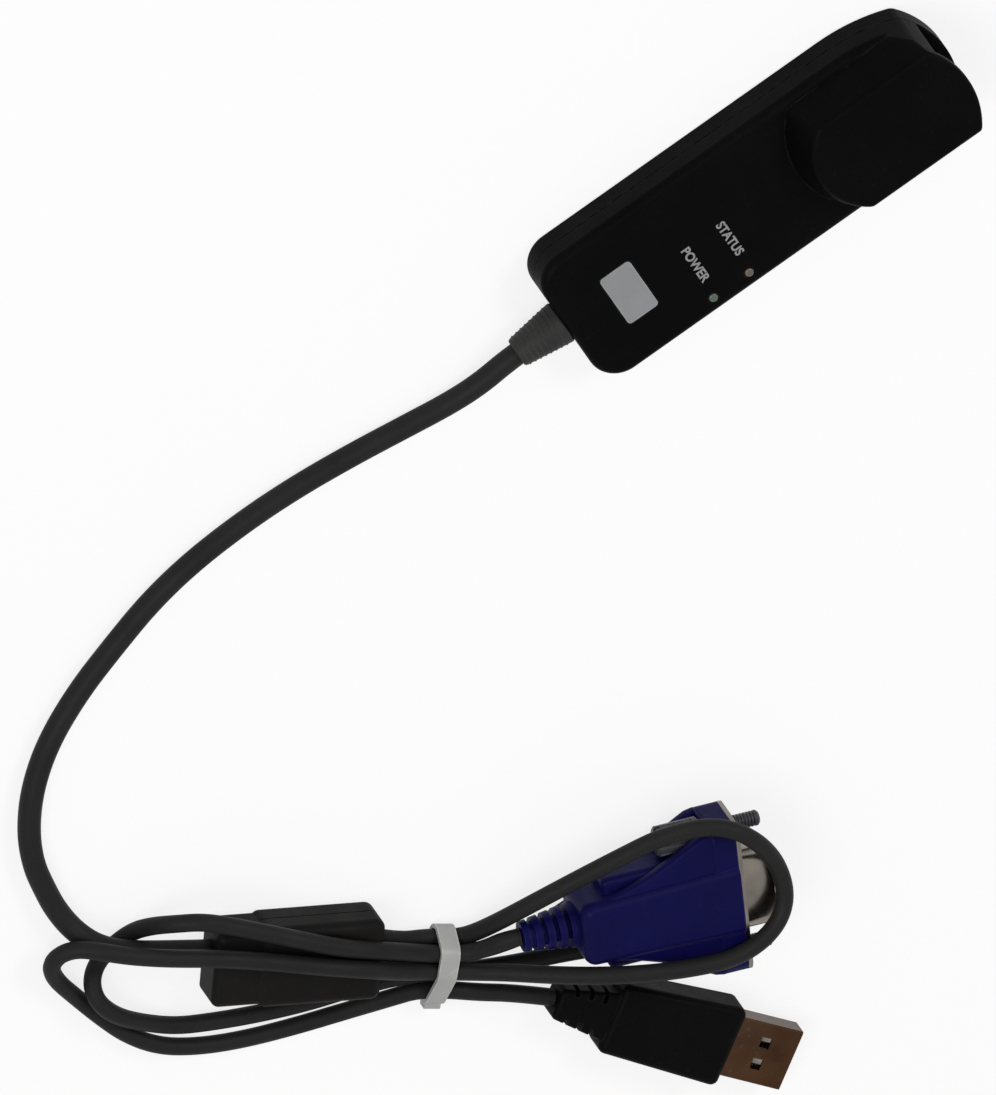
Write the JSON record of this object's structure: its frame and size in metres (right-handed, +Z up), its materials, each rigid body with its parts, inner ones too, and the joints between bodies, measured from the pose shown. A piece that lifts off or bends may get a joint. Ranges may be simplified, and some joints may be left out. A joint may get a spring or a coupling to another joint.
{
  "type": "kvm dongle",
  "caption": "Server interface dongle: a long low housing with a network socket in its nose, and a cable that splits at a block into a video plug and a USB plug, folded up in a tie",
  "frame": {"origin": "centre of the housing's underside, with the cables and plugs left out", "axes": "+X runs along the housing to the network socket, +Z is up through the deck, +Y is across to the housing's left"},
  "size_m": [0.2294, 0.1755, 0.0206],
  "materials": {
    "housing_black": "fine-textured black ABS",
    "badge_grey": "satin light grey inlay",
    "screw_steel": "zinc-plated steel",
    "board_green": "solder mask over glass fibre",
    "chip_black": "moulded black epoxy",
    "header_white": "moulded nylon",
    "light_green": "clear green light pipe, unlit",
    "light_amber": "clear amber light pipe, unlit",
    "nickel": "nickel-plated stamped steel",
    "contact_gold": "gold-flashed contacts",
    "cable_grey": "soft dark grey PVC jacket",
    "block_grey": "moulded dark grey PVC",
    "tie_grey": "pale grey nylon",
    "hood_blue": "moulded blue PVC",
    "knob_black": "moulded dark knob on a steel screw",
    "grip_black": "moulded black PVC",
    "tongue_white": "moulded white nylon"
  },
  "bodies": {
    "dongle": {"top_cover": "housing_black", "bottom_cover": "housing_black", "badge_plate": "badge_grey", "cover_screw_tail": "screw_steel", "cover_screw_nose": "screw_steel", "circuit_board": "board_green", "main_chip": "chip_black", "driver_chip": "chip_black", "wire_header": "header_white", "power_light": "light_green", "link_light": "light_amber", "socket_housing": "chip_black", "socket_shield": "nickel", "socket_contacts": "contact_gold", "cable_strain_relief": "cable_grey", "main_cable": "cable_grey", "junction_block": "block_grey", "usb_cable": "cable_grey", "video_cable": "cable_grey", "bundle_tie": "tie_grey", "video_plug_hood": "hood_blue", "video_plug_shell": "nickel", "video_plug_insulator": "hood_blue", "video_plug_pins": "contact_gold", "usb_plug_grip": "grip_black", "usb_plug_shell": "nickel", "usb_plug_tongue": "tongue_white", "usb_plug_contacts": "contact_gold"},
    "left_screw": {"thumbscrew_left": "knob_black"},
    "right_screw": {"thumbscrew_right": "knob_black"}
  },
  "joints": [
    {"name": "left_screw_turn", "type": "hinge", "parent": "dongle", "child": "left_screw", "pos_m": [-0.07283, -0.10404, 0.0105], "axis": [0.9063, -0.4226, 0], "continuous": true},
    {"name": "right_screw_turn", "type": "hinge", "parent": "dongle", "child": "right_screw", "pos_m": [-0.0834, -0.1267, 0.0105], "axis": [0.9063, -0.4226, 0], "continuous": true}
  ]
}
